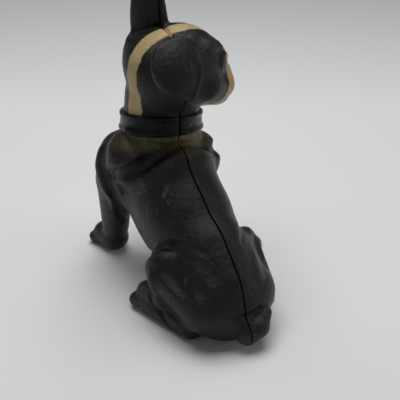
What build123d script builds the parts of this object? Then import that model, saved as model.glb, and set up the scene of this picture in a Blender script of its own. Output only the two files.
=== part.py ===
"""Seated dog still bank: two hollow iron castings parted on the spine, held by one cross screw."""
import os

from build123d import *

os.makedirs("parts", exist_ok=True)

# Frame: +Z up, floor at Z = 0, the dog sits facing -Y, its own left is +X,
# the castings part on X = 0 and the head is turned a quarter turn to look along -X.

# ---------------------------------------------------------------- driving dimensions (mm)
wall = 3.5              # casting wall, least thickness
parting_gap = 0.30      # open line between the two castings
seam = parting_gap / 2

crown_height = 114.0    # top of the skull above the floor
skull_radius = 17.6
skull_z = crown_height - skull_radius
skull_y = -51.5
ear_tip_height = 136.0
ear_width = 16.4
ear_thickness = 5.0
ear_clearance = 0.5     # between the folded ear and the casting that it overhangs

collar_radius = 18.2
collar_band = 7.6
neck_lean = 6.0         # degrees the neck leans to the front
neck_roll = 9.0         # degrees the collar drops towards the throat

shank_diameter = 4.2    # number 8 machine screw
screw_reach = 24.0      # under the head to the tip
screw_head_diameter = 7.6
screw_head_height = 2.4
driver_slot_width = 1.1
driver_slot_depth = 1.2
screw_y = -29.0
screw_z = 36.0
screw_seat_x = -14.2    # floor of the counterbore in the right casting
running_clearance = 0.05
head_clearance = 0.40
boss_diameter = 11.0

pin_diameter = 4.0
pin_reach = 2.6
pin_boss_diameter = 8.0
# y, z, then how far each boss reaches into the left and the right casting
pin_sites = [(-51.5, 99.0, 13.5, 21.5), (-2.0, 16.0, 20.5, 20.5)]

slot_length = 27.0      # coin slot, on the parting line of the chest
slot_width = 3.0
slot_z = 54.0
slot_y_outer = -85.0
slot_y_inner = -67.0


# ---------------------------------------------------------------- body masses
def limb(start, end, radius_start, radius_end, mode=Mode.ADD):
    """Tapered mass with ball ends, turned about the line from start to end."""
    along = Vector(*end) - Vector(*start)
    axis = Axis(start, along)
    side = Vector(0.31, 0.17, 1) if abs(axis.direction.Z) < 0.9 else Vector(0.23, 1, 0)
    big = max(radius_start, radius_end)
    with BuildSketch(Plane(origin=start, x_dir=along, z_dir=axis.direction.cross(side))) as half:
        Circle(radius_start)
        with Locations((along.length, 0)):
            Circle(radius_end)
        make_hull()
        with Locations((along.length / 2, -2 * big)):
            Rectangle(along.length + 6 * big, 4 * big, mode=Mode.SUBTRACT)
    revolve(half.sketch, axis=axis, mode=mode)


def blade(root, across_root, height, width_root, width_tip, thickness):
    """Ear blade: a rounded wedge that stands on its root and tapers to its tip."""
    face = Vector(*across_root).cross(Vector(0, 0, 1 if height > 0 else -1))
    up = Plane(origin=root, x_dir=across_root, z_dir=face)
    with BuildSketch(up) as outline:
        Circle(width_root / 2)
        with Locations((0, abs(height))):
            Circle(width_tip / 2)
        make_hull()
    extrude(outline.sketch, amount=thickness / 2, both=True)


def trunk(inset, mode):
    """Back, chest, belly, breast, rump and thighs, drawn in by the inset."""
    limb((0, -5, 17 + 0.2 * inset), (0, -31, 38), 15 - inset, 16.5 - inset, mode)
    limb((0, -49, 55), (0, -54, 39), 19 - inset, 19.5 - inset, mode)
    limb((0, -31, 36), (0, -45, 36), 17.2 - inset, 18 - inset, mode)
    limb((0, -58, 62), (0, -63, 54), 16.5 - inset, 17 - inset, mode)
    limb((-5, 0, 11.2), (5, 0, 11.2), 12.2 - inset, 12.2 - inset, mode)
    for side in (1, -1):
        limb((side * 11, -2, 17), (side * 16.5, -18, 23), 12 - inset, 9.5 - inset, mode)


def neck_and_head(inset, mode):
    """Neck, skull, back of the skull and muzzle, drawn in by the inset."""
    limb((0, -57, 66), (1, -55, 84), 17 - inset, 15.5 - inset, mode)
    limb((-7, skull_y, skull_z), (-1.5, skull_y, skull_z),
         skull_radius - inset, skull_radius - 0.4 - inset, mode)
    limb((3, -50.2, 99.5), (3, -55.8, 99.5), 13.2 - inset, 13.2 - inset, mode)
    limb((-14, -51.5, 90), (-19.3, -51.5, 88.5), 11.5 - inset, 10.5 - inset, mode)


def legs():
    """Shoulders, forelegs and paws, knees, shins and hind feet, the same on both sides."""
    for side in (1, -1):
        limb((side * 13, -56, 53), (side * 13, -58, 60), 10.8, 10.4)
        limb((side * 14, -66, 54), (side * 14.5, -68, 41), 11.2, 11.2)
        limb((side * 16, -71, 40), (side * 15, -75, 14), 8, 6)
        limb((side * 15, -76.5, 6.4), (side * 16.6, -84.5, 4.8), 6.3, 5.8)
        limb((side * 18.2, -18.4, 22), (side * 18.2, -19.6, 27), 7.6, 7.4)
        limb((side * 17, -20, 22), (side * 14, -7, 5), 7.5, 5.4)
        limb((side * 15, -9, 4.5), (side * 23, -34, 4.8), 4.8, 5.3)


# ---------------------------------------------------------------- the whole dog, before parting
with BuildPart() as dog:
    trunk(0, Mode.ADD)
    legs()
    neck_and_head(0, Mode.ADD)
    # stub tail, curled to the right
    limb((0, 8, 12), (-0.5, 11.5, 7.5), 5.5, 5.3)
    limb((-0.5, 11.5, 7.5), (-9, 11, 13), 5, 3)
    # far ear, pricked up
    blade((2.5, -61, 111), (0.77, -0.64, 0), ear_tip_height - 114.2, ear_width, 6.4, ear_thickness)
    # collar band, dropped towards the throat
    with BuildSketch(Plane(origin=(1, -55.5, 76.5)).rotated((neck_lean, -neck_roll, 0))) as band:
        Circle(collar_radius)
    extrude(band.sketch, amount=collar_band / 2, both=True)
    # flat seat and soles
    split(bisect_by=Plane.XY, keep=Keep.TOP)
    # cavity that keeps one wall everywhere; legs, ears and tail stay solid
    trunk(wall, Mode.SUBTRACT)
    neck_and_head(wall, Mode.SUBTRACT)


# ---------------------------------------------------------------- castings
def across(x_from, x_to, y, z, radius, mode=Mode.ADD):
    """Round bar or bore along X between two stations."""
    with BuildSketch(Plane(origin=(x_from, y, z), x_dir=(0, 1, 0), z_dir=(1, 0, 0))) as disc:
        Circle(radius)
    extrude(disc.sketch, amount=x_to - x_from, mode=mode)


def coin_slot():
    """Coin slot through the breast, half of its width in each casting."""
    with BuildSketch(Plane(origin=(0, slot_y_inner, slot_z), x_dir=(1, 0, 0), z_dir=(0, -1, 0))) as opening:
        Rectangle(slot_width, slot_length)
    extrude(opening.sketch, amount=slot_y_inner - slot_y_outer, mode=Mode.SUBTRACT)


with BuildPart() as near_ear:
    # folded down over the cheek; beyond the joint it clears the skull of the other casting
    blade((1.0, -35.4, 104.5), (1, 0, 0), -6.5, 22, 15, 6)
    across(-30, seam, skull_y, skull_z, skull_radius + ear_clearance, Mode.SUBTRACT)

with BuildPart() as left_half:
    add(dog.part)
    split(bisect_by=Plane(origin=(seam, 0, 0), z_dir=(1, 0, 0)), keep=Keep.TOP)
    add(near_ear.part)
    # blind tapped boss for the screw
    across(seam, 14.5, screw_y, screw_z, boss_diameter / 2)
    across(seam, screw_seat_x + screw_reach + 1.5, screw_y, screw_z,
           shank_diameter / 2 + running_clearance, Mode.SUBTRACT)
    # locating pins, each on its own boss
    for y, z, end, _ in pin_sites:
        across(seam, end, y, z, pin_boss_diameter / 2)
        across(-pin_reach, end, y, z, pin_diameter / 2)
    coin_slot()
left_half.part.label = "left_half"

with BuildPart() as right_half:
    add(dog.part)
    split(bisect_by=Plane(origin=(-seam, 0, 0), z_dir=(1, 0, 0)), keep=Keep.BOTTOM)
    # tube boss that carries the screw, with a counterbore sunk in the flank
    across(-14.5, -seam, screw_y, screw_z, boss_diameter / 2)
    across(-15, -seam, screw_y, screw_z, shank_diameter / 2 + running_clearance, Mode.SUBTRACT)
    across(-24, screw_seat_x, screw_y, screw_z,
           screw_head_diameter / 2 + head_clearance, Mode.SUBTRACT)
    # sockets for the locating pins
    for y, z, _, end in pin_sites:
        across(-end, -seam, y, z, pin_boss_diameter / 2)
        across(-pin_reach - 0.5, -seam, y, z, pin_diameter / 2 + running_clearance, Mode.SUBTRACT)
    coin_slot()
right_half.part.label = "right_half"

# ---------------------------------------------------------------- screw
head_under = screw_seat_x - parting_gap
with BuildPart() as assembly_screw:
    across(head_under, screw_seat_x + screw_reach, screw_y, screw_z, shank_diameter / 2)
    across(head_under - screw_head_height, head_under, screw_y, screw_z, screw_head_diameter / 2)
    chamfer(assembly_screw.faces().sort_by(Axis.X)[-1].edges(), 0.5)
    fillet(assembly_screw.faces().sort_by(Axis.X)[0].edges(), 0.8)
    driver_plane = Plane(origin=(head_under - screw_head_height, screw_y, screw_z), z_dir=(-1, 0, 0))
    with BuildSketch(driver_plane.rotated((0, 0, 35))) as driver:
        Rectangle(screw_head_diameter + 2, driver_slot_width)
    extrude(driver.sketch, amount=-driver_slot_depth, mode=Mode.SUBTRACT)
assembly_screw.part.label = "assembly_screw"

export_step(left_half.part, "parts/left_half.step")
export_step(right_half.part, "parts/right_half.step")
export_step(assembly_screw.part, "parts/assembly_screw.step")
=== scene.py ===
"""Seated dog still bank in cast iron: two castings and the screw that holds them, for Blender."""
import math

import bmesh
import bpy
import numpy as np
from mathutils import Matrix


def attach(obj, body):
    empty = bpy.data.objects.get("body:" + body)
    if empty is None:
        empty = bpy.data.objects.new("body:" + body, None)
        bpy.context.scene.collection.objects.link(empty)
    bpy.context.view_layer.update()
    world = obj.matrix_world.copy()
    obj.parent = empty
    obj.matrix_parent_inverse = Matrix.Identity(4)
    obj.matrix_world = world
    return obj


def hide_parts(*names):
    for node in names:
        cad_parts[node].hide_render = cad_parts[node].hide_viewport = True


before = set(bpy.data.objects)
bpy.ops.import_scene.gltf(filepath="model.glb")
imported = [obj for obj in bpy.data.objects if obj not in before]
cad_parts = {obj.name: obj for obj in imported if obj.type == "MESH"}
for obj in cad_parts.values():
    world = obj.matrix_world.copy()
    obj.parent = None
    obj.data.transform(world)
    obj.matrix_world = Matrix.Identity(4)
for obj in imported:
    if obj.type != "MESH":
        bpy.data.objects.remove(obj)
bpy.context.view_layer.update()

import openvdb as vdb
from mathutils import Vector

# Lengths are in mm until the meshes are made. +Z is up, the dog faces -Y and its own left is +X.
GRID = 0.42
PARTING = 0.21          # from X = 0 to each casting at the skin
MATING = 0.05           # and where they meet inside
WALL = 3.5              # of the castings
SLIT = 0.5              # between the near ear and the casting that it overhangs
THIN = 2.4              # least wall where a hollow in the skin meets the cavity
SKULL_Y = -51.5         # the head turns about this line and looks along -X
SCREW_Y, SCREW_Z, SCREW_SEAT, SCREW_REACH = -29.0, 36.0, -14.2, 24.0
SHANK, SCREW_HEAD, HEAD_HEIGHT = 4.2, 7.6, 2.4
BORE_ROOM = 0.3         # round the shank
PIN_RADIUS, PIN_ROOM = 2.0, 0.25
PINS = ((SKULL_Y, 99.0, 13.5, 21.5), (-2.0, 16.0, 20.5, 20.5))      # y, z, reach to the left and right
COIN_SLOT = (3.0, 27.0, 54.0)                                       # width, length, height of its middle
BLOCK_LOW, BLOCK_HIGH = (-36, -96, -3), (34, 22, 141)
FAR = 25.0              # what a field holds where nothing is near
# chips through the paint: a short line on the skin, and how wide it is to each side
NICKS = (([(19.9, -53.6, 43.0), (20.0, -54.8, 41.6), (19.6, -55.2, 40.2)], 0.45),
         ([(18.6, -42.4, 50.0), (18.4, -44.0, 48.6)], 0.4),
         ([(17.6, -46.6, 51.0), (18.0, -47.6, 50.0)], 0.35),
         ([(9.6, -33.4, 56.4), (11.6, -31.6, 54.6), (13.0, -31.2, 53.0)], 0.35),
         ([(12.4, -28.4, 51.4), (11.6, -27.2, 50.0)], 0.35),
         ([(15.9, -30.6, 47.4), (15.4, -31.6, 46.0)], 0.3),
         ([(20.8, -19.8, 32.2), (22.0, -18.6, 30.4)], 0.3),
         ([(17.4, -6.6, 29.0), (18.4, -5.6, 27.4)], 0.3))


# ---------------------------------------------------------------- clay: a solid kept as distances on a grid
def through(points, values, steps):
    """A smooth curve through the points, with a value carried along it."""
    points = np.array(points, float)
    values = np.array(values, float)
    if len(points) == 2:
        return points, values
    ends = np.vstack([2 * points[0] - points[1], points, 2 * points[-1] - points[-2]])
    curve, carried = [], []
    for i in range(1, len(ends) - 2):
        p0, p1, p2, p3 = ends[i - 1:i + 3]
        for t in np.linspace(0, 1, steps + 1)[:-1]:
            curve.append(0.5 * (2 * p1 + (p2 - p0) * t + (2 * p0 - 5 * p1 + 4 * p2 - p3) * t * t
                                + (3 * p1 - p0 - 3 * p2 + p3) * t ** 3))
            carried.append(values[i - 1] * (1 - t) + values[i] * t)
    curve.append(points[-1])
    carried.append(values[-1])
    return np.array(curve), np.array(carried)


class Clay:
    """Masses are blended in or carved out, then the zero surface is meshed."""

    def __init__(self, low, high, step):
        self.low, self.step = np.array(low, float), step
        count = np.ceil((np.array(high) - self.low) / step).astype(int) + 1
        self.axes = [(self.low[i] + step * np.arange(count[i])).astype(np.float32) for i in range(3)]
        self.field = np.full(tuple(count), FAR, np.float32)

    def copy(self):
        other = object.__new__(Clay)
        other.low, other.step, other.axes, other.field = self.low, self.step, self.axes, self.field.copy()
        return other

    def window(self, low, high, margin):
        """The cells within a margin of a box, and their coordinates."""
        cut = []
        for i in range(3):
            start = int(np.floor((low[i] - margin - self.low[i]) / self.step))
            stop = int(np.ceil((high[i] + margin - self.low[i]) / self.step)) + 1
            cut.append(slice(max(start, 0), max(stop, 0)))
        x, y, z = (self.axes[i][cut[i]] for i in range(3))
        return tuple(cut), x[:, None, None], y[None, :, None], z[None, None, :]

    def blend(self, shape, soft=2.0):
        distance, low, high = shape
        cut, x, y, z = self.window(low, high, soft + 2.5)
        here = self.field[cut]
        new = distance(x, y, z)
        h = np.clip(0.5 + 0.5 * (here - new) / soft, 0, 1)
        self.field[cut] = here + (new - here) * h - soft * h * (1 - h)

    def carve(self, shape, soft=1.0):
        distance, low, high = shape
        cut, x, y, z = self.window(low, high, soft + 2.5)
        here = self.field[cut]
        new = -distance(x, y, z)
        h = np.clip(0.5 - 0.5 * (here - new) / soft, 0, 1)
        self.field[cut] = here + (new - here) * h + soft * h * (1 - h)

    def sample(self, points):
        """The field at each point, between its eight cells."""
        where = (np.atleast_2d(np.array(points, float)) - self.low) / self.step
        first = np.clip(np.floor(where).astype(int), 0, np.array(self.field.shape) - 2)
        t = np.clip(where - first, 0, 1)
        total = 0
        for corner in range(8):
            bit = np.array([corner & 1, corner >> 1 & 1, corner >> 2 & 1])
            weight = np.prod(np.where(bit, t, 1 - t), axis=1)
            a, b, c = (first + bit).T
            total = total + weight * self.field[a, b, c]
        return total

    def normal(self, points):
        points = np.atleast_2d(np.array(points, float))
        slope = np.stack([self.sample(points + self.step * axis) - self.sample(points - self.step * axis)
                          for axis in np.eye(3)], 1)
        return slope / (np.linalg.norm(slope, axis=1, keepdims=True) + 1e-9)

    def stroke(self, points, radii, sink=0.0, soft=1.5, cut=False):
        """A ridge or groove that follows the skin through the points; its centre lies sink deep."""
        line, radii = through(points, radii, 4)
        for _ in range(12):
            line = line - self.normal(line) * self.sample(line)[:, None] * 0.8
        line = line - self.normal(line) * sink
        runs = [limb(line[i], line[i + 1], radii[i], radii[i + 1]) for i in range(len(line) - 1)]

        def distance(x, y, z):
            return np.minimum.reduce([run[0](x, y, z) for run in runs])
        shape = distance, np.min([run[1] for run in runs], 0), np.max([run[2] for run in runs], 0)
        (self.carve if cut else self.blend)(shape, soft)

    def mesh(self):
        grid = vdb.FloatGrid(FAR)
        grid.copyFromArray(np.ascontiguousarray(self.field))
        points, quads = grid.convertToQuads(0.0)
        return points * self.step + self.low, quads


def turn(axis, degrees):
    """Rotation about an axis."""
    axis = np.array(axis, float) / np.linalg.norm(axis)
    angle = np.radians(degrees)
    cross = np.array([[0, -axis[2], axis[1]], [axis[2], 0, -axis[0]], [-axis[1], axis[0], 0]])
    return np.eye(3) + np.sin(angle) * cross + (1 - np.cos(angle)) * cross @ cross


def egg(centre, radii, turned=np.eye(3)):
    """Ellipsoid. The columns of turned are its own axes."""
    centre, radii = np.array(centre, float), np.array(radii, float)
    reach = np.sqrt(((turned * radii) ** 2).sum(1))

    def distance(x, y, z):
        d = (x - centre[0], y - centre[1], z - centre[2])
        u = [turned[0, i] * d[0] + turned[1, i] * d[1] + turned[2, i] * d[2] for i in range(3)]
        near = np.sqrt(sum((u[i] / radii[i]) ** 2 for i in range(3)))
        slope = np.sqrt(sum((u[i] / radii[i] ** 2) ** 2 for i in range(3))) + 1e-9
        return (near * (near - 1) / slope).astype(np.float32)
    return distance, centre - reach, centre + reach


def limb(start, end, r0, r1):
    """Tapered bar with ball ends."""
    a, b = np.array(start, float), np.array(end, float)
    ba, rr = b - a, r0 - r1
    l2 = max(ba @ ba, 1e-6, rr * rr * 1.001)
    a2 = l2 - rr * rr

    def distance(x, y, z):
        px, py, pz = x - a[0], y - a[1], z - a[2]
        t = px * ba[0] + py * ba[1] + pz * ba[2]
        s = t - l2
        x2 = (px * l2 - ba[0] * t) ** 2 + (py * l2 - ba[1] * t) ** 2 + (pz * l2 - ba[2] * t) ** 2
        y2, z2 = t * t * l2, s * s * l2
        k = np.sign(rr) * rr * rr * x2
        beyond = np.sqrt(x2 + z2) / l2 - r1
        before = np.sqrt(x2 + y2) / l2 - r0
        beside = (np.sqrt(x2 * a2 / l2) + t * rr) / l2 - r0
        near = np.where(np.sign(t) * a2 * y2 < k, before, beside)
        return np.where(np.sign(s) * a2 * z2 > k, beyond, near).astype(np.float32)
    return distance, np.minimum(a - r0, b - r1), np.maximum(a + r0, b + r1)


def bar(x_from, x_to, y, z, radius):
    """Round bar along X with square ends."""
    def distance(px, py, pz):
        ring = np.sqrt((py - y) ** 2 + (pz - z) ** 2) - radius
        return np.maximum(ring, np.maximum(x_from - px, px - x_to)).astype(np.float32)
    return distance, np.array([x_from, y - radius, z - radius]), np.array([x_to, y + radius, z + radius])


def plate(outline, turned, origin, thick, rounding):
    """Plate with a smooth outline. The rows of turned are across, up and out of the plate."""
    loop, _ = through(list(outline) + [outline[0]], np.zeros(len(outline) + 1), 5)
    loop, origin = loop[:-1], np.array(origin, float)
    edge = origin + loop @ turned[:2]
    reach = np.abs(turned[2]) * thick

    def distance(x, y, z):
        d = (x - origin[0], y - origin[1], z - origin[2])
        u, v, w = (row[0] * d[0] + row[1] * d[1] + row[2] * d[2] for row in turned)
        best, inside = np.full(u.shape, 1e9), np.zeros(u.shape, bool)
        for i in range(len(loop)):
            a, b = loop[i - 1], loop[i]
            e = b - a
            t = np.clip(((u - a[0]) * e[0] + (v - a[1]) * e[1]) / (e @ e), 0, 1)
            best = np.minimum(best, (u - a[0] - t * e[0]) ** 2 + (v - a[1] - t * e[1]) ** 2)
            if a[1] != b[1]:
                inside ^= ((a[1] > v) != (b[1] > v)) & (u < e[0] * (v - a[1]) / e[1] + a[0])
        flat = np.where(inside, -np.sqrt(best), np.sqrt(best)) + rounding
        side = np.abs(w) - thick / 2 + rounding
        corner = np.sqrt(np.maximum(flat, 0) ** 2 + np.maximum(side, 0) ** 2)
        return (np.minimum(np.maximum(flat, side), 0) + corner - rounding).astype(np.float32)
    return distance, edge.min(0) - reach, edge.max(0) + reach


# ---------------------------------------------------------------- the dog
def flip(side, point):
    """The point itself for side 1, its mirror image in X = 0 for side -1."""
    return (side * point[0],) + tuple(point[1:])


COLLAR_UP = np.array([-0.156, -0.233, 1.0]) / np.linalg.norm([-0.156, -0.233, 1.0])
COLLAR_TOP = np.array([0, -55, 77.7])
COLLAR_HALF = 4.1
COLLAR_MID = COLLAR_TOP - COLLAR_HALF * COLLAR_UP


def dog():
    """The whole skin but for the near ear, as if it were one solid."""
    c = Clay(BLOCK_LOW, BLOCK_HIGH, GRID)

    def both(start, end, r0, r1, soft):
        for side in (1, -1):
            c.blend(limb(flip(side, start), flip(side, end), r0, r1), soft)

    def eggs(centre, radii, soft):
        for side in (1, -1):
            c.blend(egg(flip(side, centre), radii), soft)

    def strokes(points, radii, sink, soft, cut=False):
        for side in (1, -1):
            c.stroke([flip(side, p) for p in points], radii, sink, soft, cut)
    # trunk
    c.blend(limb((0, -5, 17), (0, -31, 38), 15, 16.5), 3)
    c.blend(limb((0, -4.5, 24), (0, -16, 33), 13, 14.3), 4)
    c.blend(egg((0, -51, 44), (19.5, 25, 25)), 5)
    c.blend(egg((1.2, -38, 36), (18.6, 22, 22)), 5)
    c.blend(egg((0, -60, 57), (18, 18, 16)), 5)
    # shoulders, the left one carried higher
    c.blend(egg((13.8, -56, 58), (11.4, 12, 13), turn((1, 0, 0), 25)), 2)
    c.blend(egg((-14.4, -54.5, 51.4), (10.8, 12, 12), turn((1, 0, 0), 25)), 2)
    eggs((14, -67, 48), (10.5, 12.5, 17), 2.5)
    # forelegs and paws with four toes
    both((16, -71, 40), (15, -75, 14), 8, 6, 4)
    both((15, -76.5, 6.8), (16.4, -83, 5.2), 6.3, 5.9, 2.5)
    for side in (1, -1):
        for toe in (-4.2, -1.4, 1.4, 4.2):
            root = (side * 15.8 + toe * 0.8, -82, 5.0)
            c.blend(limb(root, (side * 16.6 + toe, -86.6 + 0.05 * toe ** 2, 3.3), 2.7, 2.8), 0.5)
    # haunches, knees, shins and hind feet
    c.blend(limb((9.8, -2, 16.5), (16, -18, 23), 11.8, 9.5), 4)
    c.blend(limb((-9.0, -2.5, 16.5), (-15.2, -18, 23), 11.8, 9.5), 4)
    c.blend(egg((18.6, -22, 25.2), (7.5, 8, 10)), 2.5)
    c.blend(egg((-17.2, -21, 24.0), (7.3, 8, 9.6)), 2.5)
    both((17, -20, 22), (14, -7, 5), 7.0, 5.0, 2.5)
    both((15.5, -6, 5.0), (21.2, -27, 5.2), 5.4, 5.8, 1.2)
    both((20.0, -20, 12.5), (21.8, -30.5, 8.6), 5.6, 5.0, 1.5)
    for side in (1, -1):
        for toe in (-3.6, -1.2, 1.2, 3.6):
            root = (side * (20.2 + toe * 0.8), -27 + 0.3 * toe, 7.2)
            c.blend(limb(root, (side * (22.0 + toe * 1.0), -35.0 + 0.35 * toe, 4.0), 3.6, 3.3), 0.5)
    c.blend(egg((0, 0, 12), (15.5, 12, 13)), 4)
    # stub tail, curled to the right
    c.blend(limb((0, 8, 13), (-.5, 11.5, 8.5), 5, 5.0), 1.2)
    c.blend(limb((-.5, 12, 7.0), (-5.5, 12.8, 9.5), 4.4, 4.2), 1.2)
    c.blend(limb((-5.5, 12.5, 9.5), (-9.8, 10.5, 13.5), 4.2, 2.8), 1.2)
    # neck and skull
    neck = [limb((-2.2 + k, -57, 66), (-1.5 + k, -54.5, 86), 14.2, 12.9) for k in (0.2, 4.4)]
    for mass in neck:
        c.blend(mass, 3)
    c.blend(egg((-4, SKULL_Y, 96.8), (20, 17.5, 18)), 2.5)
    c.blend(egg((3, -53.5, 99.5), (12.8, 17, 13.5)), 2.5)
    c.blend(egg((4.0, -61.8, 103.4), (7.6, 7.4, 6.4)), 2.5)
    c.blend(egg((5.4, -61.4, 107.0), (6.2, 6.0, 4.2)), 1.4)
    c.blend(egg((-17, -51, 89), (12, 11, 10.5)), 2)

    # collar: a band with two raised rims and a stud
    def collar(width, proud, shift=0.0):
        def distance(x, y, z):
            above = sum((v - m) * u for v, m, u in zip((x, y, z), COLLAR_MID, COLLAR_UP))
            h = np.abs(above - shift) - width / 2 + 0.4
            r = np.minimum(neck[0][0](x, y, z), neck[1][0](x, y, z)) - proud + 0.4
            corner = np.sqrt(np.maximum(h, 0) ** 2 + np.maximum(r, 0) ** 2)
            return (np.minimum(np.maximum(h, r), 0) + corner - 0.4).astype(np.float32)
        return distance, np.array([-22, -78, 64.0]), np.array([24, -34, 92.0])
    c.blend(collar(8.2, 1.3), 0.6)
    c.blend(collar(1.5, 1.75, 3.2), 0.7)
    c.blend(collar(1.5, 1.75, -3.2), 0.7)
    c.blend(egg((17.6, -46.5, 77.6), (2.0, 2.0, 1.8)), 0.4)
    # skin folds under the collar
    c.stroke([(-1, -39.5, 70.2), (-6, -41, 68.6), (-11.0, -45.3, 65.0), (-13, -51, 63.0)],
             [1.2, 2.1, 1.5, 0.7], 1.0, 1.4)
    c.stroke([(0.5, -38.5, 67), (-8, -39.7, 64), (-18, -47, 58.5), (-22, -55, 55)],
             [0.8, 1.6, 2.0, 1.4], 0.7, 1.6)
    c.stroke([(2.0, -40, 70.6), (8.4, -42, 71.4), (13.5, -46, 72), (18, -53, 73)],
             [1.2, 2.0, 2.4, 1.6], 0.9, 1.4)
    # hollows behind the shoulder blades and the roll behind them
    strokes([(1.5, -39.5, 68.8), (8.6, -41.0, 65.8), (14.5, -43.5, 62), (19.5, -47, 58.5), (22.5, -53, 55),
             (23.5, -60, 51)], [1.0, 2.4, 3.4, 3.6, 3.0, 2.0], -0.6, 2.4, True)
    strokes([(2, -36, 66), (10, -36, 63), (17, -41, 58)], [2, 3, 2.4], 2.4, 4.5)
    # folds down the shoulder, the foreleg and the elbow
    strokes([(22.9, -60.5, 55), (22.4, -57, 47), (19.2, -56.5, 38), (16.0, -60.5, 29), (13.5, -65, 23)],
            [1.3, 1.7, 1.8, 1.6, 1.2], 0.7, 1.4)
    strokes([(22.5, -70, 58), (24.3, -69, 51), (24.5, -65.5, 43.5), (22.3, -63.5, 36.5), (19.5, -66, 29)],
            [1.8, 2.4, 2.2, 1.8, 1.3], 1.0, 1.6)
    strokes([(24.0, -64.5, 52), (23.6, -61.5, 44), (21.0, -60.5, 37), (18.6, -63.5, 28), (15, -67, 20)],
            [1.2, 1.8, 2.0, 1.8, 1.2], -0.7, 1.3, True)
    # tuck of the belly over the thigh, thigh muscles and the lower rim of the haunch
    strokes([(22.5, -28, 26), (20, -23, 33.5), (14.4, -18.5, 37), (10.2, -12, 38.6), (7, -7, 37.5)],
            [2.0, 2.2, 2.0, 1.6, 1.0], -1.0, 2.2, True)
    strokes([(18.5, -18, 34.3), (14.5, -10.4, 32.6), (11.8, -4.6, 31), (10, 3, 28)],
            [3, 3.2, 3, 2.4], 2.3, 3.5)
    strokes([(22, -14.5, 30), (20.4, -9, 27.5), (18.6, -3.5, 25)], [2.0, 2.8, 2.0], -1.2, 3.0, True)
    strokes([(24.6, -19, 25), (24.0, -17.5, 16), (22.0, -12, 9), (20.5, -4, 9), (18.5, 5, 12)],
            [2.2, 2.2, 2.0, 1.8, 1.2], 1.1, 1.8)
    strokes([(23.4, -22, 13), (20.6, -15, 5.8), (18.6, -6, 3.2)], [1.2, 1.2, 0.9], -0.3, 1.0, True)
    # crease above the tail
    c.stroke([(5, 10.5, 16.5), (2.5, 11.8, 17.0), (-2.5, 12.2, 16.4), (-7, 10, 17)],
             [0.8, 1.1, 1.2, 1.0], -0.2, 0.8, True)
    # far ear, pricked up
    lean = turn((0, 0, 1), -40)
    c.blend(egg((2.4, -61.0, 114.5), (7.4, 3.0, 21.5), lean), 1.4)
    c.blend(limb((-1.6, -57.5, 108), (0.6, -60.0, 132.5), 4.0, 1.4), 1.5)
    c.carve(egg((3.2, -66.5, 118), (5.2, 3.4, 13), lean), 1.0)
    c.stroke([(-0.9, -53.0, 114.0), (4, -57.5, 112.0), (9.5, -62.0, 109.6)], [0.7, 0.9, 0.9], -0.1, 0.6, True)
    # dip behind the near ear, and the forehead
    c.carve(limb((14.4, -41.0, 108), (14.0, -37.4, 98), 2.2, 2.6), 1.2)
    c.blend(egg((-17.6, -50.5, 98.6), (8.4, 9.0, 7.6)), 3)
    # brows, eyes, cheeks and flews
    for side in (1, -1):
        c.blend(limb((-13, SKULL_Y + side * 9.5, 107.2), (-18.6, SKULL_Y + side * 6.0, 104.6), 3.2, 2.8), 2.5)
        c.blend(egg((-18.9, SKULL_Y + side * 7.4, 98.6), (2.8, 3.2, 3.0)), 0.6)
        c.blend(limb((-12, SKULL_Y + side * 12.5, 92), (-18, SKULL_Y + side * 8.5, 87), 5.6, 5.6), 2.5)
        c.blend(egg((-22.0, SKULL_Y + side * 4.8, 87.4), (6.2, 5.8, 6.4)), 1.2)
    # chin and nose
    c.blend(egg((-19.5, SKULL_Y, 82.0), (5.5, 6.5, 4.0)), 1.0)
    c.blend(egg((-26.8, SKULL_Y, 91.6), (2.4, 3.4, 2.4)), 0.7)
    # eyelids, nostrils and mouth
    for side in (1, -1):
        eye = [(-20.5, SKULL_Y + side * 3.6, 99.0), (-20.2, SKULL_Y + side * 6.2, 101.2),
               (-18.4, SKULL_Y + side * 9.6, 100.4), (-17.4, SKULL_Y + side * 11.2, 98.0)]
        c.stroke(eye, [0.5, 0.9, 0.9, 0.5], 0.1, 0.6)
        c.carve(egg((-29.0, SKULL_Y + side * 1.5, 91.2), (1.0, 0.8, 0.8)), 0.4)
        mouth = [(-28.5, SKULL_Y + side * 0.4, 88.0), (-28.2, SKULL_Y + side * 1.6, 85.8),
                 (-25.5, SKULL_Y + side * 6.5, 83.4), (-20.0, SKULL_Y + side * 10.0, 83.0)]
        c.stroke(mouth, [0.4, 0.6, 0.6, 0.4], 0.0, 0.5, True)
    # flat where it stands
    c.field = np.maximum(c.field, -c.axes[2][None, None, :])
    return c


def near_ear(head):
    """The dog with its near ear: a flap hinged on the crown that hangs out over the cheek."""
    c = head.copy()
    tilt = np.radians(25)
    flap = np.array([(1, 0, 0), (0, -np.sin(tilt), np.cos(tilt)), (0, np.cos(tilt), np.sin(tilt))])
    rim = [(-9.8, 9.8), (-3, 10.8), (5, 10.2), (9.8, 6.5), (11.3, 0.5), (9.8, -6.5), (5, -10.8),
           (-2.5, -14.2), (-5.4, -8.5), (-7.4, -1), (-9.0, 5.5)]
    c.blend(plate(rim, flap, (1.6, -38.1, 104.6), 3.8, 1.5), 0.8)
    c.blend(egg((2.5, -37.4, 104.0), (10.4, 4.8, 11.2), turn((1, 0, 0), 25)), 1.6)
    front = [(-5.6, -41.8, 113.4), (-5.8, -37.0, 106.8), (-4.2, -33.6, 99.8), (-0.8, -32.0, 93.2)]
    c.stroke(front, [0.9, 1.1, 1.1, 0.9], 0.2, 0.9)
    c.carve(egg((-2.0, -32.8, 109.0), (1.9, 2.4, 4.4)), 2.2)
    return c


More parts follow.
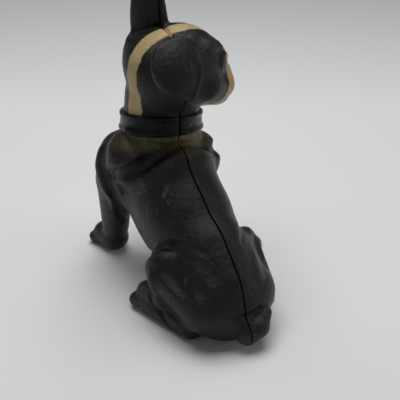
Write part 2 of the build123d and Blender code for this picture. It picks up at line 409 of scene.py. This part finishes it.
def overhang(head, eared):
    """What of the near ear reaches past the joint, clear of the other casting as that slides away."""
    cut, _, _, _ = head.window((-14, -52, 84), (0.3, -26, 118), 0)
    swept = np.minimum.accumulate(head.field[cut][::-1], axis=0)[::-1]
    part = np.full_like(head.field, FAR)
    part[cut] = np.maximum(eared.field[cut], SLIT - swept)
    return part


# ---------------------------------------------------------------- castings
def ramp(value, start, end):
    """0 at start and before, 1 at end and after, smooth between."""
    t = np.clip((value - start) / (end - start), 0, 1)
    return t * t * (3 - 2 * t)


def cavity(skin):
    """The hollow inside: the body's masses less the wall, clear of the skin, with the bosses left."""
    c = Clay(BLOCK_LOW, BLOCK_HIGH, GRID)
    masses = [((0, -5, 17.7), (0, -31, 38), 15, 16.5), ((0, -49, 55), (0, -54, 39), 19, 19.5),
              ((0, -31, 36), (0, -45, 36), 17.2, 18), ((0, -58, 62), (0, -63, 54), 16.5, 17),
              ((-5, 0, 11.2), (5, 0, 11.2), 12.2, 12.2), ((0, -57, 66), (1, -55, 84), 17, 15.5),
              ((-7, SKULL_Y, 96.4), (-1.5, SKULL_Y, 96.4), 17.6, 17.2),
              ((3, -50.2, 99.5), (3, -55.8, 99.5), 13.2, 13.2),
              ((-14, SKULL_Y, 90), (-19.3, SKULL_Y, 88.5), 11.5, 10.5)]
    masses += [(flip(side, (11, -2, 17)), flip(side, (16.5, -18, 23)), 12, 9.5) for side in (1, -1)]
    for start, end, r0, r1 in masses:
        c.blend(limb(start, end, r0 - WALL, r1 - WALL), 1.5)
    c.field = np.maximum(c.field, skin.field + THIN)
    c.field = np.maximum(c.field, WALL - 0.5 - c.axes[2][None, None, :])
    c.carve(bar(-14.5, 14.5, SCREW_Y, SCREW_Z, 5.5), 1.0)
    for y, z, left_end, right_end in PINS:
        c.carve(bar(-right_end, left_end, y, z, 4.0), 1.0)
    return c


def casting(skin, hollow, side, ear=None):
    """The half on one side of the parting plane, with its share of the pins, bores and coin slot."""
    c = skin.copy()
    c.field = np.maximum(c.field, -hollow.field)
    # the joint shows wider on the crown and under the collar
    c.stroke([(0, -60.5, 114.8), (0, -50, 114.2), (0, -41.5, 110.5)], [0.6, 0.75, 0.4], 0.2, 0.5, True)
    c.stroke([(0, -38.3, 80.5), (0, -38.0, 75)], [0.45, 0.45], 0.1, 0.4, True)
    joint = PARTING - (PARTING - MATING) * ramp(-skin.field, 0.5, 1.1)
    c.field = np.maximum(c.field, joint - side * c.axes[0][:, None, None])
    if ear is not None:
        c.field = np.minimum(c.field, ear)
    width, length, height = COIN_SLOT
    c.carve(slab((0, -76, height), (width / 2, 10, length / 2), 0.3), 0.3)
    if side > 0:
        for y, z, _, _ in PINS:
            c.blend(bar(-2.6, 6, y, z, PIN_RADIUS), 0.4)
        c.carve(bar(-2, SCREW_SEAT + SCREW_REACH + 1.5, SCREW_Y, SCREW_Z, SHANK / 2 + BORE_ROOM), 0.3)
    else:
        for y, z, _, _ in PINS:
            c.carve(bar(-3.1, 2, y, z, PIN_RADIUS + PIN_ROOM), 0.3)
        c.carve(bar(-16, 2, SCREW_Y, SCREW_Z, SHANK / 2 + BORE_ROOM), 0.3)
        c.carve(bar(-30, SCREW_SEAT, SCREW_Y, SCREW_Z, SCREW_HEAD / 2 + 0.4), 0.4)
    return c


def slab(centre, half, rounding):
    """Block with rounded edges."""
    centre, half = np.array(centre, float), np.array(half, float)

    def distance(x, y, z):
        d = np.stack(np.broadcast_arrays(x - centre[0], y - centre[1], z - centre[2]))
        q = np.abs(d) - (half - rounding)[:, None, None, None]
        outside = np.sqrt((np.maximum(q, 0) ** 2).sum(0))
        return (outside + np.minimum(q.max(0), 0) - rounding).astype(np.float32)
    return distance, centre - half, centre + half


def box_blur(field, reach):
    """The mean of the cells within reach, along each axis in turn."""
    for axis in range(3):
        margins = [(reach + 1, reach) if i == axis else (0, 0) for i in range(3)]
        total = np.cumsum(np.pad(field, margins, "edge"), axis)
        length = field.shape[axis]
        high = np.take(total, np.arange(2 * reach + 1, 2 * reach + 1 + length), axis)
        low = np.take(total, np.arange(length), axis)
        field = ((high - low) / (2 * reach + 1)).astype(np.float32)
    return field


def largest(points, quads):
    """Drops specks that aren't joined to the main surface."""
    label = np.arange(len(points))
    edges = np.concatenate([quads[:, [0, 1]], quads[:, [1, 2]], quads[:, [2, 3]]])
    while True:
        low = np.minimum(label[edges[:, 0]], label[edges[:, 1]])
        new = label.copy()
        np.minimum.at(new, edges[:, 0], low)
        np.minimum.at(new, edges[:, 1], low)
        new = new[new]
        if (new == label).all():
            break
        label = new
    names, counts = np.unique(label, return_counts=True)
    kept = label == names[counts.argmax()]
    quads = quads[kept[quads[:, 0]]]
    place = np.cumsum(kept) - 1
    return points[kept], place[quads]


def paint(points, normals):
    """How much of each paint there is at each point."""
    x, y, z = points.T
    wave = 0.35 * np.sin(z * 0.9 + 1.3) + 0.22 * np.sin(z * 2.3 + x * 0.7)
    face = ramp(-x, 4, 20)
    half = 3.0 - 0.9 * face + 0.5 * (1 - face) * np.clip((112 - z) / 28, 0, 1.1) + wave * 0.5
    centre = SKULL_Y - 1.0 * face + (1 - face) * (1.5 - 1.0 * np.clip((94 - z) / 12, 0, 1))
    above = (points - COLLAR_TOP) @ COLLAR_UP
    stripe = ramp(half - np.abs(y - centre), -0.25, 0.25) * ramp(above, 0.1, 0.6) * ramp(-z, -118, -116.5)
    stripe *= np.where(x < -19, ramp(z, 90, 92), 1.0)
    edge = -22.4 + 1.3 * np.maximum(90 - z, 0) + 0.5 * np.sin(y * 0.5)
    muzzle = ramp(edge - x, -0.4, 0.4) * ramp(z, 74, 78)
    away = np.linalg.norm((points - (-27.6, SKULL_Y, 91.6)) / (1.0, 1.35, 1.0), axis=1)
    off_nose = 1 - ramp(away, 3.0, 2.5) * (normals[:, 0] < -0.45)
    stripe, muzzle = stripe * off_nose, muzzle * off_nose
    under = (points - COLLAR_MID) @ COLLAR_UP + COLLAR_HALF
    side = np.where(x < 1.0, 1.0, 0.42)
    folds = ramp(under, -9.5, -4.5) * ramp(-under, -0.2, 0.9) * side * ramp(y, -66, -48)
    breast = ramp(-y, 64, 74) * ramp(np.abs(x), 15, 4) * ramp(z, 34, 56) * ramp(under, 0.0, -1.5)
    collar = ramp(-np.abs(under - COLLAR_HALF), -4.7, -4.3)
    nick = np.zeros(len(points))
    for line, radius in NICKS:
        for a, b in zip(line[:-1], line[1:]):
            a, b = np.array(a), np.array(b)
            t = np.clip((points - a) @ (b - a) / ((b - a) @ (b - a)), 0, 1)
            away = np.linalg.norm(points - a - t[:, None] * (b - a), axis=1)
            nick = np.maximum(nick, ramp(-away, -radius - 0.75, -radius - 0.15))
    return {"stripe": stripe, "muzzle": muzzle, "folds": np.maximum(folds, 0.6 * breast),
            "collar": collar, "nick": nick}


def build(name, clay, skin, soft):
    """The mesh object of a casting; soft is its skin with the detail blurred away."""
    points, quads = largest(*clay.mesh())
    a, b, c, d = (points[quads[:, i]] for i in range(4))
    if (a * np.cross(b - a, d - a)).sum() + (c * np.cross(d - c, b - c)).sum() < 0:
        quads = quads[:, ::-1]
    depth = -skin.sample(points)
    normals = skin.normal(points)
    marks = paint(points, normals)
    marks["painted"] = ramp(depth, 1.7, 1.1)
    marks["bend"] = np.clip(soft.sample(points) - skin.sample(points), -0.6, 0.6)
    mesh = bpy.data.meshes.new(name)
    mesh.vertices.add(len(points))
    mesh.vertices.foreach_set("co", (points / 1000).astype(np.float32).ravel())
    mesh.loops.add(4 * len(quads))
    mesh.loops.foreach_set("vertex_index", quads.astype(np.int32).ravel())
    mesh.polygons.add(len(quads))
    mesh.polygons.foreach_set("loop_start", np.arange(0, 4 * len(quads), 4, dtype=np.int32))
    mesh.update(calc_edges=True)
    mesh.validate()
    mesh.shade_smooth()
    mesh.set_sharp_from_angle(angle=math.radians(50))
    for key, values in marks.items():
        mesh.attributes.new(key, "FLOAT", "POINT").data.foreach_set("value", values.astype(np.float32))
    piece = bpy.data.objects.new(name, mesh)
    bpy.context.collection.objects.link(piece)
    return piece


def blurred(skin):
    """A copy of the skin with the detail averaged away, to find ridges and creases by."""
    soft = skin.copy()
    soft.field = box_blur(np.clip(skin.field, -4, 4), max(1, round(1.5 / GRID)))
    return soft


head_bare = dog()
head_eared = near_ear(head_bare)
hollow = cavity(head_bare)
left_clay = casting(head_eared, hollow, 1, overhang(head_bare, head_eared))
left = build("left_casting_iron", left_clay, head_eared, blurred(head_eared))
right = build("right_casting_iron", casting(head_bare, hollow, -1), head_bare, blurred(head_bare))


# ---------------------------------------------------------------- screw
def turned_screw():
    """Slotted pan head, plain neck and a rolled thread that runs out at both ends."""
    bm = bmesh.new()
    around, pitch, core, crest = 40, 0.79, 1.62, SHANK / 2
    under = SCREW_SEAT - 0.3
    rows = []

    def ring(x, radii):
        row = []
        for i, r in enumerate(radii):
            angle = 2 * math.pi * i / around
            row.append(bm.verts.new((x, SCREW_Y + r * math.cos(angle), SCREW_Z + r * math.sin(angle))))
        rows.append(row)
    head = SCREW_HEAD / 2
    for dx, r in ((-HEAD_HEIGHT, head - 1.9), (-2.36, head - 1.35), (-2.22, head - 0.8), (-1.9, head - 0.34),
                  (-1.45, head - 0.1), (-0.9, head), (-0.35, head), (-0.1, head - 0.07), (0, head - 0.2),
                  (0, crest + 0.15), (0.15, crest)):
        ring(under + dx, [r] * around)
    for dx in np.arange(0.5, SCREW_REACH + 0.05, pitch / 8):
        run_in = np.clip((dx - 2.2) / 1.4, 0, 1)
        run_out = np.clip(SCREW_REACH + 0.1 - dx, 0, 1)
        radius = []
        for i in range(around):
            phase = (dx / pitch - i / around) % 1
            tooth = np.clip(1.35 - abs(phase - 0.5) * 3.4, 0, 1)
            r = crest + (core + (crest - core) * tooth - crest) * run_in
            radius.append(r - (r - core + 0.25) * (1 - run_out))
        ring(under + dx, radius)
    ring(under + SCREW_REACH + 0.25, [core - 0.55] * around)
    for a, b in zip(rows[:-1], rows[1:]):
        for i in range(around):
            bm.faces.new((a[i], b[i], b[(i + 1) % around], a[(i + 1) % around]))
    bm.faces.new(rows[0])
    bm.faces.new(rows[-1][::-1])
    bmesh.ops.recalc_face_normals(bm, faces=bm.faces)
    mesh = bpy.data.meshes.new("screw_steel")
    bm.to_mesh(mesh)
    bm.free()
    piece = bpy.data.objects.new("screw_steel", mesh)
    bpy.context.collection.objects.link(piece)
    # driver slot, cut with a block that is then removed
    bm = bmesh.new()
    bmesh.ops.create_cube(bm, size=1)
    for v in bm.verts:
        across, up = v.co.y * (SCREW_HEAD + 2), v.co.z * 1.1
        tilt = math.radians(35)
        v.co = (under - HEAD_HEIGHT - 0.2 + v.co.x * 2.8,
                SCREW_Y + across * math.cos(tilt) - up * math.sin(tilt),
                SCREW_Z + across * math.sin(tilt) + up * math.cos(tilt))
    block_mesh = bpy.data.meshes.new("driver")
    bm.to_mesh(block_mesh)
    bm.free()
    block = bpy.data.objects.new("driver", block_mesh)
    bpy.context.collection.objects.link(block)
    cut = piece.modifiers.new("driver", "BOOLEAN")
    cut.object, cut.operation, cut.solver = block, "DIFFERENCE", "EXACT"
    done = bpy.data.meshes.new_from_object(piece.evaluated_get(bpy.context.evaluated_depsgraph_get()))
    piece.modifiers.clear()
    piece.data = done
    done.name = "screw_steel"
    bpy.data.objects.remove(block)
    done.transform(((0.001, 0, 0, 0), (0, 0.001, 0, 0), (0, 0, 0.001, 0), (0, 0, 0, 1)))
    done.shade_smooth()
    done.set_sharp_from_angle(angle=math.radians(38))
    return piece


screw = turned_screw()


# ---------------------------------------------------------------- materials
class Nodes:
    """Short hand for building a node tree."""

    def __init__(self, name):
        self.material = bpy.data.materials.new(name)
        self.material.use_nodes = True
        self.tree = self.material.node_tree
        self.shader = self.tree.nodes["Principled BSDF"]
        self.place = self.tree.nodes.new("ShaderNodeTexCoord").outputs["Object"]

    def put(self, socket, value):
        if isinstance(value, bpy.types.NodeSocket):
            self.tree.links.new(value, socket)
        else:
            socket.default_value = value

    def noise(self, scale, detail=4.0, rough=0.55, stretch=None):
        node = self.tree.nodes.new("ShaderNodeTexNoise")
        node.inputs["Scale"].default_value = scale
        node.inputs["Detail"].default_value = detail
        node.inputs["Roughness"].default_value = rough
        place = self.place
        if stretch:
            shape = self.tree.nodes.new("ShaderNodeMapping")
            shape.inputs["Rotation"].default_value = stretch[0]
            shape.inputs["Scale"].default_value = stretch[1]
            self.put(shape.inputs["Vector"], place)
            place = shape.outputs["Vector"]
        self.put(node.inputs["Vector"], place)
        return node.outputs["Fac"]

    def cells(self, scale):
        node = self.tree.nodes.new("ShaderNodeTexVoronoi")
        node.inputs["Scale"].default_value = scale
        self.put(node.inputs["Vector"], self.place)
        return node.outputs["Distance"]

    def mark(self, name):
        """A value stored on the mesh by build."""
        node = self.tree.nodes.new("ShaderNodeAttribute")
        node.attribute_name = name
        return node.outputs["Fac"]

    def scale(self, value, low, high, to_low=0.0, to_high=1.0):
        """The range from low to high stretched to another range, and held at its ends."""
        node = self.tree.nodes.new("ShaderNodeMapRange")
        for i, v in enumerate((value, low, high, to_low, to_high)):
            self.put(node.inputs[i], v)
        return node.outputs["Result"]

    def sum(self, operation, a, b):
        """The named arithmetic on two values, held between 0 and 1."""
        node = self.tree.nodes.new("ShaderNodeMath")
        node.operation = operation
        node.use_clamp = True
        self.put(node.inputs[0], a)
        self.put(node.inputs[1], b)
        return node.outputs[0]

    def mix(self, factor, a, b):
        node = self.tree.nodes.new("ShaderNodeMix")
        node.data_type = "RGBA"
        self.put(node.inputs[0], factor)
        self.put(node.inputs[6], a)
        self.put(node.inputs[7], b)
        return node.outputs[2]

    def bump(self, height, distance, strength, before=None):
        node = self.tree.nodes.new("ShaderNodeBump")
        node.inputs["Distance"].default_value = distance
        node.inputs["Strength"].default_value = strength
        self.put(node.inputs["Height"], height)
        if before is not None:
            self.put(node.inputs["Normal"], before)
        return node.outputs["Normal"]


def srgb(red, green, blue):
    """The linear colour of three values from 0 to 255."""
    levels = [v / 255 for v in (red, green, blue)]
    return tuple(v / 12.92 if v < 0.0404 else ((v + 0.055) / 1.055) ** 2.4 for v in levels) + (1,)


def painted_iron():
    """Black enamel with its painted marks, worn and chipped, and rusty iron inside."""
    n = Nodes("worn_enamel_on_iron")
    cloud, grain, sand = n.noise(55, 5, 0.6), n.noise(560, 6, 0.68), n.noise(1500, 3, 0.65)
    specks = n.cells(330)
    # black enamel, thinner and greyer in broad patches
    colour = n.mix(n.scale(cloud, 0.36, 0.68), srgb(4, 5, 5), srgb(12, 13, 14))
    colour = n.mix(n.scale(grain, 0.56, 0.75, 0.0, 0.5), colour, srgb(28, 30, 30))
    # rubbed through to brown iron on the ridges and where the noise is high
    ridge = n.sum("MULTIPLY", n.scale(n.mark("bend"), 0.07, 0.24), n.scale(grain, 0.42, 0.62))
    colour = n.mix(n.sum("MULTIPLY", ridge, 0.34), colour, srgb(78, 66, 48))
    # dust settled in the creases
    crease = n.sum("MULTIPLY", n.scale(n.mark("bend"), -0.06, -0.26), n.scale(cloud, 0.35, 0.6, 0.25, 0.9))
    colour = n.mix(n.sum("MULTIPLY", crease, 0.45), colour, srgb(48, 42, 32))
    # worn khaki under the collar and on the breast
    folds = n.sum("MULTIPLY", n.mark("folds"), n.scale(grain, 0.36, 0.56, 0.25, 1.0))
    colour = n.mix(folds, colour, n.mix(n.scale(cloud, 0.4, 0.6), srgb(92, 80, 52), srgb(120, 105, 72)))
    # stripe over the head and tan muzzle
    pits = n.sum("ADD", grain, n.scale(n.noise(900, 2, 0.5), 0.0, 1.0, 0.0, 0.25))
    chipped = n.scale(pits, 0.80, 0.86, 1.0, 0.35)
    cream = n.mix(n.scale(cloud, 0.35, 0.7), srgb(182, 161, 119), srgb(156, 134, 96))
    colour = n.mix(n.sum("MULTIPLY", n.mark("stripe"), chipped), colour, cream)
    tan = n.mix(n.scale(cloud, 0.35, 0.7), srgb(192, 158, 114), srgb(166, 130, 88))
    colour = n.mix(n.sum("MULTIPLY", n.mark("muzzle"), chipped), colour, tan)
    # the collar is blacker, and smooth enough to catch only small lights
    collar = n.mark("collar")
    colour = n.mix(n.sum("MULTIPLY", collar, n.scale(grain, 0.66, 0.5, 0.3, 0.9)), colour, srgb(3, 4, 5))
    # small chips down to bare metal
    chips = n.sum("MULTIPLY", n.scale(specks, 0.10, 0.06), n.scale(cloud, 0.52, 0.58))
    chips = n.sum("MAXIMUM", chips, n.sum("MULTIPLY", n.mark("nick"), n.scale(sand, 0.42, 0.6)))
    colour = n.mix(n.sum("MULTIPLY", chips, 0.7), colour, srgb(112, 108, 98))
    # fine scratches
    scratch = n.scale(n.noise(260, 2, 0.5, ((0.5, 0.2, 0.9), (9, 0.6, 6))), 0.68, 0.73)
    scratch = n.sum("MULTIPLY", scratch, n.scale(n.noise(70, 2, 0.5), 0.5, 0.62))
    colour = n.mix(n.sum("MULTIPLY", scratch, 0.5), colour, srgb(92, 92, 88))
    # bare inside: dark rusty iron
    raw = n.mix(n.scale(grain, 0.38, 0.62), srgb(52, 44, 38), srgb(92, 66, 48))
    bare = n.scale(n.mark("painted"), 0.9, 0.1)
    colour = n.mix(bare, colour, raw)
    n.put(n.shader.inputs["Base Color"], colour)
    rough = n.sum("ADD", n.scale(grain, 0.35, 0.68, 0.28, 0.44), n.sum("MULTIPLY", folds, 0.2))
    rough = n.sum("ADD", rough, n.sum("MULTIPLY", bare, 0.3))
    rough = n.sum("SUBTRACT", rough, n.sum("MULTIPLY", collar, 0.22))
    n.put(n.shader.inputs["Roughness"], n.sum("ADD", rough, n.sum("MULTIPLY", scratch, 0.15)))
    n.put(n.shader.inputs["Metallic"], n.sum("MULTIPLY", n.sum("MAXIMUM", chips, scratch), 0.5))
    n.put(n.shader.inputs["Specular IOR Level"], n.scale(collar, 0.0, 1.0, 0.28, 0.12))
    n.shader.inputs["Coat Weight"].default_value = 0.04
    n.shader.inputs["Coat Roughness"].default_value = 0.30
    lumps = n.bump(n.noise(150, 3, 0.5), 0.0014, 0.45)
    cast = n.bump(grain, 0.0008, 0.75, lumps)
    fine = n.bump(sand, 0.00030, 0.7, cast)
    flaws = n.sum("SUBTRACT", 1.0, n.sum("MAXIMUM", chips, n.sum("MULTIPLY", scratch, 0.6)))
    n.put(n.shader.inputs["Normal"], n.bump(flaws, 0.00025, 0.8, fine))
    return n.material


def old_steel():
    """Dull zinc plate with some rust."""
    n = Nodes("old_zinc_steel")
    grain, cloud = n.noise(900, 4, 0.6), n.noise(260, 3, 0.5)
    brushed = n.noise(500, 3, 0.5, ((0, 0, 0), (8, 1, 1)))
    colour = n.mix(n.scale(cloud, 0.4, 0.65), srgb(150, 146, 136), srgb(96, 88, 76))
    colour = n.mix(n.scale(grain, 0.62, 0.75, 0.0, 0.7), colour, srgb(92, 62, 42))
    n.put(n.shader.inputs["Base Color"], colour)
    n.shader.inputs["Metallic"].default_value = 0.9
    n.put(n.shader.inputs["Roughness"], n.scale(brushed, 0.3, 0.7, 0.30, 0.55))
    n.put(n.shader.inputs["Normal"], n.bump(brushed, 0.00006, 0.5))
    return n.material


iron = painted_iron()
for piece, rides, stands_for in ((left, "left_casting", "left_half"),
                                 (right, "right_casting", "right_half")):
    piece.data.materials.append(iron)
    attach(piece, rides)
    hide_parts(stands_for)
screw.data.materials.clear()
screw.data.materials.append(old_steel())
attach(screw, "screw")
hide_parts("assembly_screw")


# ---------------------------------------------------------------- floor, light and camera
def floor(half=3):
    """Pale paper, with painted shade that darkens it towards the back."""
    mesh = bpy.data.meshes.new("floor")
    corners = [(-half, -half, 0), (half, -half, 0), (half, half, 0), (-half, half, 0)]
    mesh.from_pydata(corners, [], [(0, 1, 2, 3)])
    sweep = bpy.data.objects.new("floor", mesh)
    bpy.context.collection.objects.link(sweep)
    n = Nodes("paper_with_painted_falloff")
    paper = n.mix(n.scale(n.noise(8, 2, 0.5), 0.3, 0.7), (0.74, 0.75, 0.75, 1), (0.76, 0.77, 0.77, 1))
    # painted shade: the paper's colour darkens with distance towards the back, in place of the light falling
    # off
    run = n.tree.nodes.new("ShaderNodeVectorMath")
    run.operation = "DOT_PRODUCT"
    n.put(run.inputs[0], n.place)
    run.inputs[1].default_value = (-0.5, -0.866, 0)
    away = n.scale(run.outputs["Value"], 0.20, 0.38)
    n.put(n.shader.inputs["Base Color"], n.mix(away, paper, (0.56, 0.57, 0.56, 1)))
    n.shader.inputs["Roughness"].default_value = 0.9
    n.shader.inputs["Specular IOR Level"].default_value = 0.1
    mesh.materials.append(n.material)


def soft_box(name, where, at, size, power):
    """Square light; size in metres, power in watts."""
    light = bpy.data.lights.new(name, "AREA")
    light.shape, light.size, light.energy = "SQUARE", size, power
    lamp = bpy.data.objects.new(name, light)
    lamp.location = where
    lamp.rotation_euler = (Vector(at) - Vector(where)).to_track_quat("-Z", "Y").to_euler()
    bpy.context.collection.objects.link(lamp)


floor()
soft_box("overhead", (-0.03, -0.13, 0.58), (0, -0.06, 0.03), size=0.46, power=3.0)
soft_box("near_side", (0.75, 0.25, 0.40), (0, -0.03, 0.06), size=0.50, power=0.40)
soft_box("far_side", (-0.60, 0.30, 0.30), (0, -0.03, 0.06), size=0.40, power=0.6)
world = bpy.data.worlds.new("studio")
world.use_nodes = True
light = world.node_tree.nodes["Background"]
light.inputs["Color"].default_value = (0.96, 0.98, 1.0, 1)
light.inputs["Strength"].default_value = 0.11
# past the floor's edge the eye sees pale paper
paper = world.node_tree.nodes.new("ShaderNodeBackground")
paper.inputs["Color"].default_value = (0.50, 0.52, 0.52, 1)
paper.inputs["Strength"].default_value = 0.8
seen = world.node_tree.nodes.new("ShaderNodeMixShader")
rays = world.node_tree.nodes.new("ShaderNodeLightPath")
world.node_tree.links.new(rays.outputs["Is Camera Ray"], seen.inputs[0])
world.node_tree.links.new(light.outputs[0], seen.inputs[1])
world.node_tree.links.new(paper.outputs[0], seen.inputs[2])
world.node_tree.links.new(seen.outputs[0], world.node_tree.nodes["World Output"].inputs["Surface"])
bpy.context.scene.world = world
bpy.context.scene.view_settings.view_transform = "Standard"

# camera behind the dog, to its left and above
AZIMUTH, ELEVATION = math.radians(150), math.radians(33)
CAMERA_AT = (0.16657, 0.26380, 0.26696)
LENS, SENSOR = 88.9, 36
level = math.cos(ELEVATION)
back = Vector((math.sin(AZIMUTH) * level, -math.cos(AZIMUTH) * level, math.sin(ELEVATION)))
lens = bpy.data.cameras.new("camera")
lens.lens = LENS
lens.sensor_width = SENSOR
lens.clip_start = 0.01
camera = bpy.data.objects.new("camera", lens)
camera.location = CAMERA_AT
camera.rotation_euler = (-back).to_track_quat("-Z", "Y").to_euler()
bpy.context.collection.objects.link(camera)
bpy.context.scene.camera = camera
